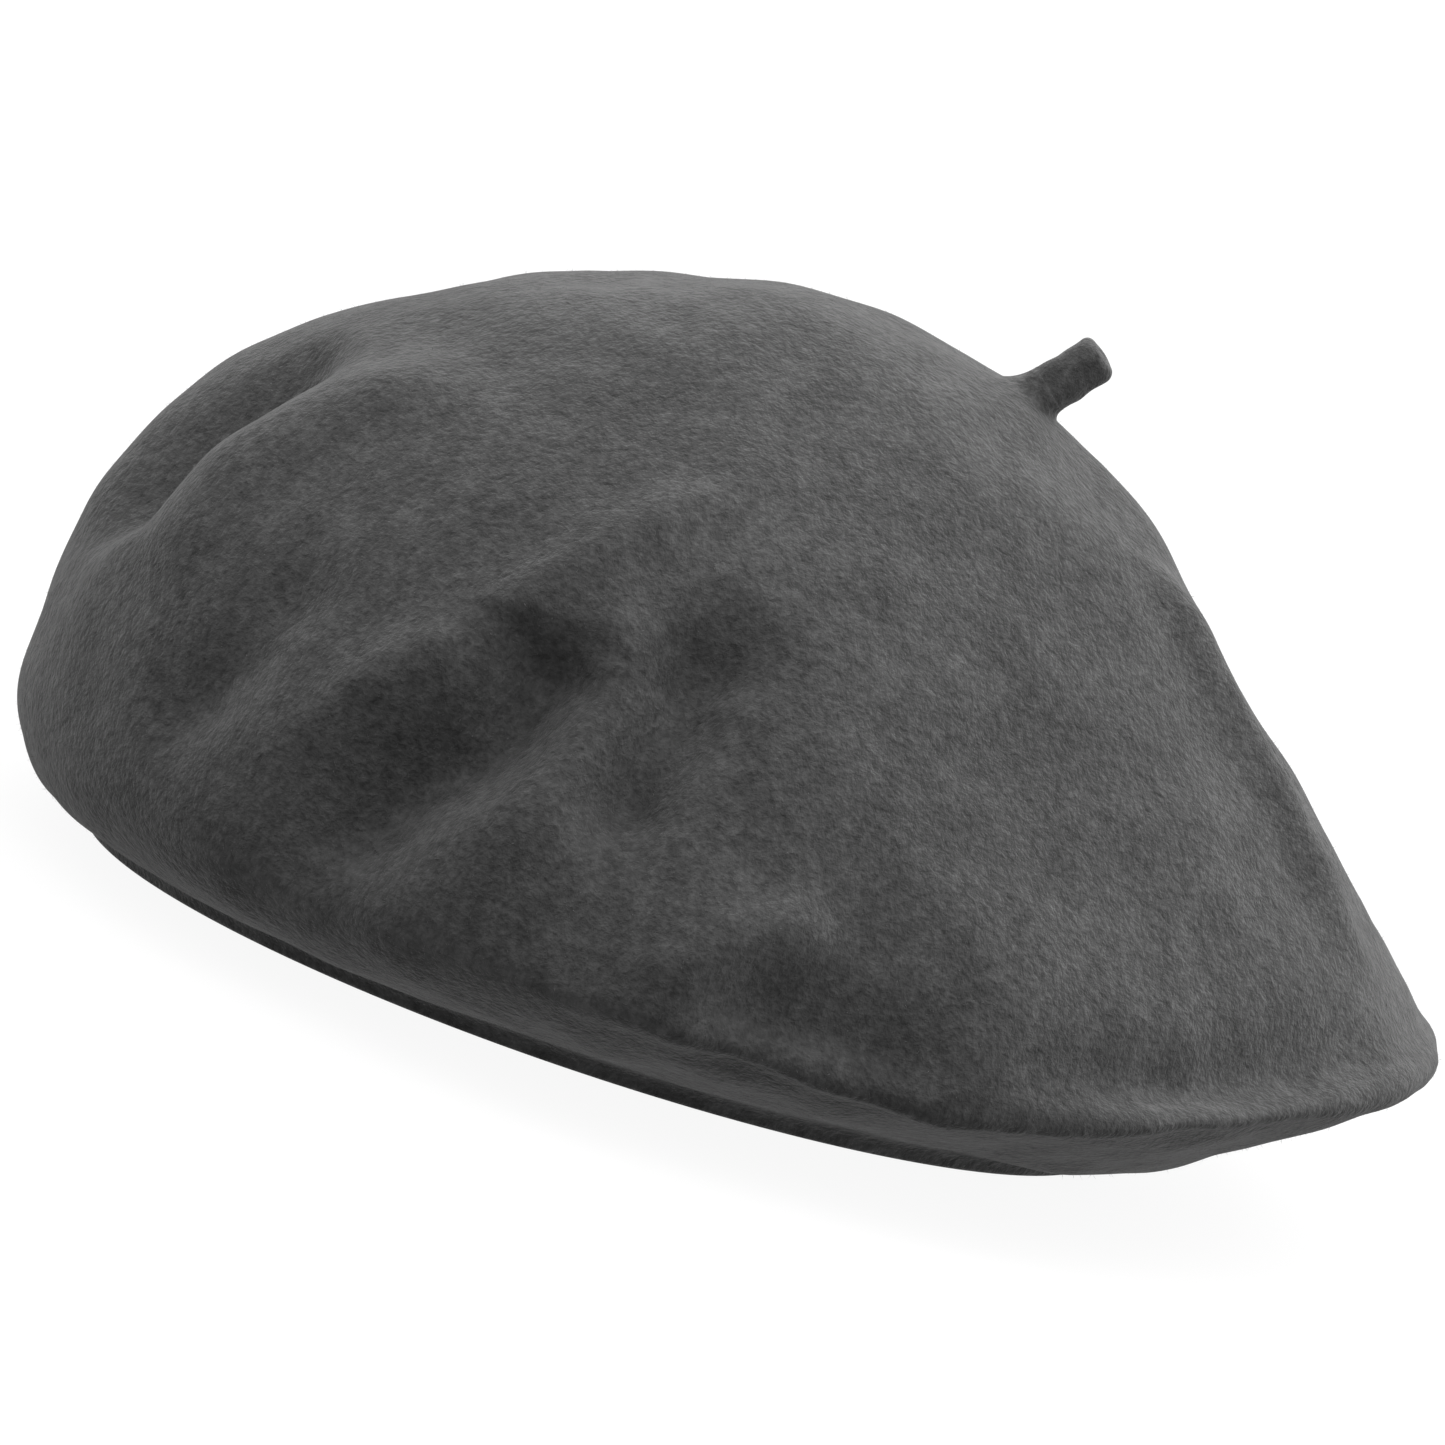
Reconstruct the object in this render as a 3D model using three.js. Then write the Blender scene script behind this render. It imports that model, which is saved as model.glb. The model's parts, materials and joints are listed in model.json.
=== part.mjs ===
// A fulled wool beret, shaped as it sits when worn: a full crown that slopes back from its stalk,
// a pressed fold round the rim, and an underside that comes in to the head opening.
//
// Millimetres. The origin is the centre of the head opening, in the plane of its edge.
// +Z points up through the crown, -Y is the wearer's forehead and +X is the wearer's left.
// Azimuths run round +Z in radians: 0 at the back of the head, a quarter turn at the wearer's left.

import * as THREE from 'three';

// ---- Driving dimensions ----------------------------------------------------------------------

const FELT = 2.4; // thickness of the fulled wool
const OPENING = { halfWidth: 79, halfLength: 99 }; // 560 mm round: a size 56 head
const BAND_RISE = 4; // the edge of the opening stands upright this far
const RIM = { halfWidth: 129, halfLength: 135, centreY: 16, sideHeight: 24, backRise: 14, frontRise: 4 };
const PEAK = { y: 42, height: 128.4 }; // where the stalk grows out of the crown
// Exponents of the section's two curves: 1 is a straight slope, 2 a quarter of an ellipse.
// forwardPower is how late they change from back to front.
const CROWN_BULGE = { back: 1.13, front: 2.58, forwardPower: 1.5 };
const UNDERSIDE_BULGE = { back: 1.22, front: 2.4, forwardPower: 2.5 };
const CURVE_STEPS = { underside: 40, crown: 120 };
// The soft swell in front of the stalk, which dies away below fullHeight.
const PUFF = { rise: 8, halfWidth: 42, halfLength: 34, fullHeight: 98 };
const FOLD_SOFTNESS = 4; // how far each fold is rounded along the surface
const STALK_HOLE = 2.6; // radius of the hole that the knitting starts from

const STALK = {
  lean: THREE.MathUtils.degToRad(39),
  length: 9.6,
  radius: 4.5,
  tipRadius: 4.35,
  tipRound: 1.8,
  tipDome: 0.3,
  ballRadius: 3.6, // the ball end turns in the root's cup
  ballShoulder: { start: 1.1, end: 3.4 }, // where the ball widens into the stub
};
const ROOT = {
  skirt: { radius: 8.5, thickness: 0.7, round: 0.3 }, // lies on the crown
  neck: { radius: 2.2, drop: 6.2 }, // goes down the hole in the crown
  shoulder: { radius: 4.4, drop: 3.5 }, // widest ring of the cup
  pivotHeight: 4.7,
  cupAngle: THREE.MathUtils.degToRad(42),
};
const KNOT = { radius: 2.6, strand: 0.95, drop: 11.6 };
const TACK = { thread: 0.4, drop: 5 };

const RIBBON = { height: 26, thickness: 0.9, lift: 1.2, lean: 1.5 }; // the sweatband
const THREAD = 0.3; // radius of the sewing thread
const SEAM_HEIGHT = 3.2;
const BOW = { length: 27, width: 9, depth: 3.4, ribbon: 0.55, waist: 2.2, height: 13.5 };
const BOW_KNOT = { width: 6, ribbon: 0.6 };
const LABEL = { width: 26, drop: 19, thickness: 0.6, top: 23.5 };

const GAP = 0.3; // clearance between pieces that touch

const AZIMUTHS = 72;
const CROWN_ROWS = 16;
const UNDERSIDE_ROWS = 7;
const SOFT_STEPS = 4; // points along a section in each FOLD_SOFTNESS
const STALK_STEPS = { alongCurves: 5, around: 24 };
const THREAD_STEPS = { alongSeam: 96, alongRing: 28, around: 5, aroundRing: 8 };
const KNOT_STEPS = { along: 48, around: 7 };

// ---- Colours ---------------------------------------------------------------------------------

const felt = new THREE.MeshStandardMaterial({ color: 0x4d4d4d, roughness: 1.0, metalness: 0 });
const stalkFelt = new THREE.MeshStandardMaterial({ color: 0x4a4a4a, roughness: 1.0, metalness: 0 });
const grosgrain = new THREE.MeshStandardMaterial({ color: 0x232325, roughness: 0.75, metalness: 0 });
const sewing = new THREE.MeshStandardMaterial({ color: 0x303032, roughness: 0.7, metalness: 0 });
const woven = new THREE.MeshStandardMaterial({ color: 0xd9d6cf, roughness: 0.85, metalness: 0 });

// ---- Surfaces from rows of points ------------------------------------------------------------

/** A mesh that takes its name from the piece it stands for. */
function piece(name, geometry, material) {
  const mesh = new THREE.Mesh(geometry, material);
  mesh.name = name;
  return mesh;
}

/** Azimuths of the sections, evenly round the head. */
function azimuths(count = AZIMUTHS) {
  return Array.from({ length: count }, (_, i) => (i * 2 * Math.PI) / count);
}

/**
 * The closed surface through a list of loops, each with the same number of points, which climb on
 * the outside. A loop of one point closes an end with a fan; ring joins the last loop to the first.
 */
function loft(loops, { ring = false } = {}) {
  const count = Math.max(...loops.map((loop) => loop.length));
  const starts = [];
  const positions = [];
  for (const loop of loops) {
    starts.push(positions.length / 3);
    loop.forEach((p) => positions.push(p.x, p.y, p.z));
  }
  const corner = (k, i) => starts[k] + (loops[k].length === 1 ? 0 : i % count);
  const index = [];
  const steps = ring ? loops.length : loops.length - 1;
  for (let k = 0; k < steps; k += 1) {
    const next = (k + 1) % loops.length;
    for (let i = 0; i < count; i += 1) {
      const [a, b, c, d] = [corner(k, i), corner(k, i + 1), corner(next, i + 1), corner(next, i)];
      if (a !== b) index.push(a, c, b);
      if (c !== d) index.push(a, d, c);
    }
  }
  const geometry = new THREE.BufferGeometry();
  geometry.setAttribute('position', new THREE.Float32BufferAttribute(positions, 3));
  geometry.setIndex(index);
  geometry.computeVertexNormals();
  return geometry;
}

// ---- The felt's shape ------------------------------------------------------------------------

/** How far forward an azimuth points: 0 at the back, 1/2 at the sides, 1 at the forehead. */
const forward = (azimuth) => (1 - Math.cos(azimuth)) / 2;

/** A point of an ellipse that is level with the head opening's plane, at a height. */
function onEllipse(halfWidth, halfLength, azimuth, height, centreY = 0) {
  const x = halfWidth * Math.sin(azimuth);
  const y = centreY + halfLength * Math.cos(azimuth);
  return new THREE.Vector3(x, y, height);
}

/** The rim's crest at an azimuth. */
function rimPoint(azimuth) {
  const back = Math.max(Math.cos(azimuth), 0) ** 3;
  const front = Math.max(-Math.cos(azimuth), 0) ** 3;
  const height = RIM.sideHeight + RIM.backRise * back + RIM.frontRise * front;
  return onEllipse(RIM.halfWidth, RIM.halfLength, azimuth, height, RIM.centreY);
}

/** Steps along a quarter of a superellipse: across falls from 1 to 0 while up climbs from 0 to 1. */
function quarterSteps(exponent, count) {
  return Array.from({ length: count + 1 }, (_, k) => {
    const angle = (k / count) * (Math.PI / 2);
    return { across: Math.cos(angle) ** (2 / exponent), up: Math.sin(angle) ** (2 / exponent) };
  });
}

/**
 * The unrounded section at an azimuth: up the edge of the opening from below it, out along the
 * underside to the rim, then up the crown to the peak.
 */
function sharpSection(azimuth) {
  const share = forward(azimuth);
  const edge = onEllipse(OPENING.halfWidth, OPENING.halfLength, azimuth, BAND_RISE);
  const rim = rimPoint(azimuth);
  const peak = new THREE.Vector3(0, PEAK.y, PEAK.height);
  const bulge = ({ back, front, forwardPower }) => THREE.MathUtils.lerp(back, front, share ** forwardPower);
  const underside = quarterSteps(bulge(UNDERSIDE_BULGE), CURVE_STEPS.underside).map(({ across, up }) => {
    const point = edge.clone().lerp(rim, up);
    return point.setZ(THREE.MathUtils.lerp(rim.z, edge.z, across));
  });
  const crown = quarterSteps(bulge(CROWN_BULGE), CURVE_STEPS.crown).map(({ across, up }) => {
    const point = peak.clone().lerp(rim, across);
    return point.setZ(THREE.MathUtils.lerp(rim.z, peak.z, up));
  });
  const below = edge.clone().setZ(-4 * FOLD_SOFTNESS);
  return { upToRim: [below, ...underside], crown };
}

const lengthOf = (points) => points.slice(1).reduce((sum, p, i) => sum + p.distanceTo(points[i]), 0);

/** The points at equal steps along a polyline. */
function evenly(points, count) {
  const path = new THREE.CurvePath();
  points.slice(1).forEach((p, i) => {
    if (p.distanceTo(points[i]) > 1e-6) path.add(new THREE.LineCurve3(points[i], p));
  });
  return Array.from({ length: count + 1 }, (_, i) => path.getPoint(i / count));
}

/** Evenly spaced points with their corners rounded by a Gaussian average, ends held in place. */
function softened(even, spread) {
  const last = even.length - 1;
  const weight = (k) => Math.exp(-0.5 * (k / spread) ** 2);
  const at = (i) => {
    if (i < 0) return even[0].clone().multiplyScalar(2).sub(even[-i]);
    if (i > last) return even[last].clone().multiplyScalar(2).sub(even[2 * last - i]);
    return even[i];
  };
  return even.map((_, i) => {
    const mean = new THREE.Vector3();
    let total = 0;
    for (let k = -3 * spread; k <= 3 * spread; k += 1) {
      mean.addScaledVector(at(i + k), weight(k));
      total += weight(k);
    }
    return mean.divideScalar(total);
  });
}

/** The point at a fractional place in a list of points. */
function pointAt(points, place) {
  const i = Math.min(Math.floor(place), points.length - 2);
  return points[i].clone().lerp(points[i + 1], place - i);
}

/** The fractional place where a measure of the points falls below a level, after a given index. */
function placeWhere(points, measure, level, after) {
  const i = points.findIndex((p, k) => k > after && measure(p) < level);
  const [before, beyond] = [measure(points[i - 1]), measure(points[i])];
  return i - 1 + (before - level) / (before - beyond);
}

/** The swell in front of the stalk, added to the height of crown points. */
function puff(point) {
  const x = point.x / PUFF.halfWidth;
  const y = point.y / PUFF.halfLength;
  const crownShare = THREE.MathUtils.smoothstep(point.z, RIM.sideHeight, PUFF.fullHeight);
  return PUFF.rise * Math.exp(-(x * x + y * y)) * crownShare;
}

const distanceFromPeak = (p) => Math.hypot(p.x, p.y - PEAK.y);

/** The felt's outer section at an azimuth, from the opening's edge to the stalk hole. */
function outerSection(azimuth) {
  const { upToRim, crown } = sharpSection(azimuth);
  const total = lengthOf(upToRim) + lengthOf(crown);
  const count = Math.round((total * SOFT_STEPS) / FOLD_SOFTNESS);
  const smooth = softened(evenly([...upToRim, ...crown.slice(1)], count), SOFT_STEPS);
  const edge = placeWhere(smooth, (p) => -p.z, 0, 0);
  const rim = (count * lengthOf(upToRim)) / total;
  const hole = placeWhere(smooth, distanceFromPeak, STALK_HOLE, rim);
  const places = [];
  for (let k = 0; k < UNDERSIDE_ROWS; k += 1) places.push(edge + ((rim - edge) * k) / UNDERSIDE_ROWS);
  for (let k = 0; k <= CROWN_ROWS; k += 1) places.push(rim + ((hole - rim) * k) / CROWN_ROWS);
  return places.map((place) => {
    const point = pointAt(smooth, place);
    return point.setZ(point.z + puff(point));
  });
}

/** The same sections moved along the surface's outward normal. */
function offsetSections(sections, distance) {
  const around = sections.length;
  return sections.map((section, i) => {
    const [before, after] = [sections[(i + around - 1) % around], sections[(i + 1) % around]];
    return section.map((point, row) => {
      const [down, up] = [section[Math.max(row - 1, 0)], section[Math.min(row + 1, section.length - 1)]];
      const along = up.clone().sub(down);
      const round = after[row].clone().sub(before[row]);
      const normal = along.cross(round).normalize();
      return point.clone().addScaledVector(normal, distance);
    });
  });
}

/** Turns sections, one per azimuth, into loops, one per row. */
const asLoops = (sections) => sections[0].map((_, row) => sections.map((section) => section[row]));

const outerSections = azimuths().map(outerSection);
const innerSections = offsetSections(outerSections, -FELT);
innerSections.forEach((section, i) => {
  section[0].setZ(0);
  const holeEdge = outerSections[i].at(-1);
  section.at(-1).copy(holeEdge).setZ(holeEdge.z - FELT);
});

/** The whole felt: crown, rim fold, underside and opening edge in one seamless shell. */
function feltBody() {
  const inner = asLoops(innerSections);
  const outer = asLoops(outerSections);
  return piece('felt_body', loft([...inner.reverse(), ...outer], { ring: true }), felt);
}

// ---- The stalk -------------------------------------------------------------------------------

const stalkAxis = new THREE.Vector3(0, Math.sin(STALK.lean), Math.cos(STALK.lean));
const rootCentre = new THREE.Vector3(0, PEAK.y, PEAK.height);
rootCentre.z += puff(rootCentre);
const stalkPivot = rootCentre.clone().addScaledVector(stalkAxis, ROOT.pivotHeight);

/** A circle about the stalk's axis, at a distance along the axis from the pivot. */
function stalkCircle(radius, along, count) {
  return azimuths(count).map((azimuth) => {
    const point = new THREE.Vector3(radius * Math.sin(azimuth), radius * Math.cos(azimuth), along);
    return point.applyAxisAngle(new THREE.Vector3(1, 0, 0), -STALK.lean).add(stalkPivot);
  });
}

/** A ring on the felt at a distance from the peak, lifted straight up; every stride-th section. */
function feltRing(radius, lift, stride) {
  return outerSections.filter((_, i) => i % stride === 0).map((section) => {
    const crossing = section.findIndex((p, row) => row > UNDERSIDE_ROWS && distanceFromPeak(p) <= radius);
    const row = crossing > 0 ? crossing : section.length - 1;
    const [out, near] = [section[row - 1], section[row]];
    const run = distanceFromPeak(out) - distanceFromPeak(near);
    const point = out.clone().lerp(near, (distanceFromPeak(out) - radius) / run);
    return point.setZ(point.z + lift);
  });
}

/** The flared root: a skirt felted onto the crown, a neck down the hole and a cup for the stalk. */
function stalkBase() {
  const { skirt, neck, shoulder, cupAngle } = ROOT;
  const stride = 2;
  const count = AZIMUTHS / stride;
  const cup = STALK.ballRadius + GAP;
  const cupSteps = [1, 0.75, 0.5, 0.25].map((share) => share * cupAngle);
  const lift = GAP / Math.cos(Math.PI / 4); // keeps the gap where the crown slopes at 45 degrees
  const loops = [
    [rootCentre.clone().setZ(rootCentre.z - FELT - neck.drop)],
    feltRing(neck.radius, -FELT - neck.drop, stride),
    feltRing(neck.radius, lift, stride),
    feltRing(skirt.radius, lift, stride),
    feltRing(skirt.radius - skirt.round, lift + skirt.thickness, stride),
    stalkCircle(shoulder.radius, -shoulder.drop, count),
    ...cupSteps.map((angle) => stalkCircle(cup * Math.sin(angle), -cup * Math.cos(angle), count)),
    [stalkPivot.clone().addScaledVector(stalkAxis, -cup)],
  ];
  return piece('stalk_base', loft(loops), stalkFelt);
}

/** The stalk: a stub of felt with a ball end in the root's cup and a blunt rounded tip. */
function stalk() {
  const { radius, length, tipRadius, tipRound, tipDome, ballRadius, ballShoulder } = STALK;
  const profile = new THREE.Path();
  profile.absarc(0, 0, ballRadius, -Math.PI / 2, 0, false);
  profile.quadraticCurveTo(radius, ballShoulder.start, radius, ballShoulder.end);
  profile.lineTo(tipRadius, length - tipRound);
  profile.absarc(tipRadius - tipRound, length - tipRound, tipRound, 0, Math.PI / 2, false);
  profile.lineTo(0, length + tipDome);
  const outline = profile.getPoints(STALK_STEPS.alongCurves);
  outline[0].x = 0;
  const shape = new THREE.LatheGeometry(outline, STALK_STEPS.around);
  shape.rotateX(Math.PI / 2);
  const mesh = piece('stalk', shape, stalkFelt);
  mesh.rotation.x = -STALK.lean;
  mesh.position.copy(stalkPivot);
  return mesh;
}

/** What holds the stalk inside the crown: a thread wound round the neck, and the knotted yarn ends. */
function stalkFastening() {
  const group = new THREE.Group();
  const winding = ROOT.neck.radius + 2 * GAP + TACK.thread;
  const ring = new THREE.TorusGeometry(winding, TACK.thread, THREAD_STEPS.aroundRing, THREAD_STEPS.alongRing);
  const thread = piece('stalk_tack_thread', ring, sewing);
  thread.position.z = -FELT - TACK.drop;
  const tied = new THREE.TorusKnotGeometry(KNOT.radius, KNOT.strand, KNOT_STEPS.along, KNOT_STEPS.around);
  const knot = piece('stalk_knot', tied, stalkFelt);
  knot.position.z = -FELT - KNOT.drop;
  group.add(thread, knot);
  group.position.copy(rootCentre);
  return group;
}

// ---- The sweatband ---------------------------------------------------------------------------

/** An ellipse that follows the opening at a distance inside the felt's inner face. */
function insideOpening(inset, height, count = AZIMUTHS) {
  const [halfWidth, halfLength] = [OPENING.halfWidth - FELT - inset, OPENING.halfLength - FELT - inset];
  return azimuths(count).map((azimuth) => onEllipse(halfWidth, halfLength, azimuth, height));
}

/** The inset of the ribbon's inner face at a height: the ribbon leans in a little at its top. */
function ribbonFace(height) {
  const share = (height - RIBBON.lift) / RIBBON.height;
  return GAP + RIBBON.thickness + RIBBON.lean * share;
}

/** Grosgrain ribbon round the inside of the opening, sewn along its lower edge. */
function sweatband() {
  const [low, high] = [RIBBON.lift, RIBBON.lift + RIBBON.height];
  const loops = [
    insideOpening(ribbonFace(low) - RIBBON.thickness, low),
    insideOpening(ribbonFace(high) - RIBBON.thickness, high),
    insideOpening(ribbonFace(high), high),
    insideOpening(ribbonFace(low), low),
  ];
  return piece('sweatband', loft(loops, { ring: true }), grosgrain);
}

/** The running stitch that holds the ribbon, as one thread on the ribbon's face. */
function sweatbandStitching() {
  const path = insideOpening(ribbonFace(SEAM_HEIGHT) + GAP + THREAD, SEAM_HEIGHT, THREAD_STEPS.alongSeam / 2);
  const curve = new THREE.CatmullRomCurve3(path, true);
  const seam = new THREE.TubeGeometry(curve, THREAD_STEPS.alongSeam, THREAD, THREAD_STEPS.around, true);
  return piece('sweatband_stitching', seam, sewing);
}

/** A slot with round ends, as a closed path, centred along X. */
function slotPath(PathClass, centreX, length, depth) {
  const r = depth / 2;
  const half = length / 2 - r;
  const path = new PathClass();
  path.absarc(centreX + half, 0, r, -Math.PI / 2, Math.PI / 2, false);
  path.absarc(centreX - half, 0, r, Math.PI / 2, (3 * Math.PI) / 2, false);
  return path;
}

/** The two loops of the bow, cut from one length of ribbon that stands on its edge. */
function bowLoops() {
  const { length, depth, ribbon, waist, width } = BOW;
  const outline = slotPath(THREE.Shape, 0, length, depth);
  const holeLength = (length - waist) / 2 - 2 * ribbon;
  const holeCentre = waist / 2 + ribbon + holeLength / 2;
  for (const side of [-1, 1]) {
    outline.holes.push(slotPath(THREE.Path, side * holeCentre, holeLength, depth - 2 * ribbon));
  }
  const shape = new THREE.ExtrudeGeometry(outline, { depth: width, bevelEnabled: false, curveSegments: 8 });
  return piece('bow_loops', shape, grosgrain);
}

/** The wrap round the middle of the bow. */
function bowKnot() {
  const { depth, width } = BOW;
  const outer = BOW_KNOT.ribbon + GAP;
  const wrap = new THREE.Shape();
  const [halfDepth, halfWidth] = [depth / 2 + outer, width / 2 + outer];
  wrap.moveTo(-halfWidth, -halfDepth);
  wrap.lineTo(halfWidth, -halfDepth);
  wrap.lineTo(halfWidth, halfDepth);
  wrap.lineTo(-halfWidth, halfDepth);
  wrap.closePath();
  const hole = new THREE.Path();
  const [innerDepth, innerWidth] = [depth / 2 + GAP, width / 2 + GAP];
  hole.moveTo(-innerWidth, -innerDepth);
  hole.lineTo(-innerWidth, innerDepth);
  hole.lineTo(innerWidth, innerDepth);
  hole.lineTo(innerWidth, -innerDepth);
  hole.closePath();
  wrap.holes.push(hole);
  const shape = new THREE.ExtrudeGeometry(wrap, { depth: BOW_KNOT.width, bevelEnabled: false });
  return piece('bow_knot', shape, grosgrain);
}

/** The flat bow that covers the ribbon's joint at the back of the opening. */
function bow() {
  const group = new THREE.Group();
  const loops = bowLoops();
  loops.position.set(0, 0, -BOW.width / 2);
  const knot = bowKnot();
  knot.rotation.y = -Math.PI / 2;
  knot.position.x = BOW_KNOT.width / 2;
  group.add(loops, knot);
  const back = OPENING.halfLength - FELT - ribbonFace(BOW.height);
  const openingRadius = OPENING.halfWidth ** 2 / OPENING.halfLength; // how tightly the back curves
  const sag = (BOW.length / 2) ** 2 / (2 * openingRadius);
  group.position.set(0, back - sag - GAP - BOW.depth / 2 - BOW_KNOT.ribbon, BOW.height);
  return group;
}

// ---- The care label --------------------------------------------------------------------------

/** How far in from the origin the label hangs: clear of the curved ribbon along its whole width. */
function labelX() {
  const face = OPENING.halfWidth - FELT - ribbonFace(LABEL.top);
  const openingRadius = OPENING.halfLength ** 2 / OPENING.halfWidth; // how tightly the side curves
  const sag = (LABEL.width / 2) ** 2 / (2 * openingRadius);
  return face - sag - GAP - LABEL.thickness / 2;
}

/** A blank woven tab that hangs from its sewn upper edge. */
function careLabel() {
  const mesh = piece('care_label', new THREE.BoxGeometry(LABEL.thickness, LABEL.width, LABEL.drop), woven);
  mesh.position.set(labelX(), 0, LABEL.top - LABEL.drop / 2);
  return mesh;
}

/** The line of thread along the label's upper edge. */
function careLabelStitch() {
  const line = new THREE.CapsuleGeometry(THREAD, LABEL.width - 2 * THREAD, 4, 8);
  const mesh = piece('care_label_stitch', line, sewing);
  mesh.position.set(labelX(), 0, LABEL.top + 3 * GAP + THREAD);
  return mesh;
}

// ---- The beret -------------------------------------------------------------------------------

const beret = new THREE.Group();
beret.add(feltBody());
beret.add(stalkBase(), stalk(), stalkFastening());
beret.add(sweatband(), sweatbandStitching(), bow());
beret.add(careLabel(), careLabelStitch());

export default beret;
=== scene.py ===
import json
import math
from typing import NamedTuple

import bpy
import numpy as np
from mathutils import Matrix, Vector
from mathutils.bvhtree import BVHTree


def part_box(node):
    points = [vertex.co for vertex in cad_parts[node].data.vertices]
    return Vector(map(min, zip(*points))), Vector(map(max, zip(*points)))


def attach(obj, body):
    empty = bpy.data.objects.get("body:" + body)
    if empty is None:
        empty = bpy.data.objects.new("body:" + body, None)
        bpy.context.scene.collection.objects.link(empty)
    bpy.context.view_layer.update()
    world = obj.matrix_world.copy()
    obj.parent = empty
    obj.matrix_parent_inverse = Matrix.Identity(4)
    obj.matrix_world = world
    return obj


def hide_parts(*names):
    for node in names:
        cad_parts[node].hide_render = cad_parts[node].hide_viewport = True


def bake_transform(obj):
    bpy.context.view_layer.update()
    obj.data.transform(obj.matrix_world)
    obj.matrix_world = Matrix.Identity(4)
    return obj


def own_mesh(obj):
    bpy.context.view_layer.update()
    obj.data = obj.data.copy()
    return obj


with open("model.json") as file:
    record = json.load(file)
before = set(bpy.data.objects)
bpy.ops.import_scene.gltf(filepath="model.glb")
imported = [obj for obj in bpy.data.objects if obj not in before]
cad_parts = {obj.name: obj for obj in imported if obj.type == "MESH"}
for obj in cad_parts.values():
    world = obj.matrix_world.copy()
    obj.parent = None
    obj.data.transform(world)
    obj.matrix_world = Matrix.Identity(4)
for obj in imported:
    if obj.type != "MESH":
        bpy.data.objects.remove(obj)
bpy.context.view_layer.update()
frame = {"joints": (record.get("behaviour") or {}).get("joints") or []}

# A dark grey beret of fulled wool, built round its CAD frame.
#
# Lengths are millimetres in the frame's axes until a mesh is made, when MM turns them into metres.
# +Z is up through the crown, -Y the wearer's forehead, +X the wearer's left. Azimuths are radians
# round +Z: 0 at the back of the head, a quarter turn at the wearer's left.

MM = 0.001
SEED = 11

# ---- Driving dimensions, as in the CAD source ---------------------------------------------------

FELT = 2.4  # thickness of the fulled wool
OPENING = (79.0, 99.0)  # half width and half length of the head opening's edge
BAND_RISE = 4.0  # the edge of the opening stands upright this far
RIM = (129.0, 135.0)  # half width and half length of the rim
RIM_CENTRE_Y = 16.0
RIM_SIDE_HEIGHT, RIM_BACK_RISE, RIM_FRONT_RISE = 24.0, 14.0, 4.0
PEAK_Y, PEAK_HEIGHT = 42.0, 128.4  # where the stalk grows out of the crown
CROWN_BULGE = (1.13, 2.58, 1.5)  # exponents at the back and the front, and how late they change
UNDERSIDE_BULGE = (1.22, 2.4, 2.5)
# a soft dome over the top, which lifts the felt in full from PUFF_FULL_HEIGHT up
PUFF_RISE, PUFF_HALF_WIDTH, PUFF_HALF_LENGTH, PUFF_FULL_HEIGHT = 8.0, 42.0, 34.0, 98.0
SECTION_SOFTNESS = 4.0  # spread of the Gaussian that rounds the section's corners
STALK_HOLE = 2.6  # radius of the hole in the felt, which the stalk covers

AZIMUTHS = 320
UNDERSIDE_ROWS = 58
CROWN_ROWS = 160
INNER_STRIDE = 4  # the inner face has one row for this many outer rows
EDGE_STEPS = 6  # rows round the edge of the opening


# ---- Folds pressed and creased into the felt ----------------------------------------------------


class Fold(NamedTuple):
    """A soft ridge (height above 0) or hollow (below 0) along a path over the felt."""

    path: list  # points near the felt, millimetres
    width: float  # half width, where the lift has fallen to 1/e
    height: float
    fade: tuple = (0.3, 0.3)  # shares of the path over which the fold rises and dies away


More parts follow.
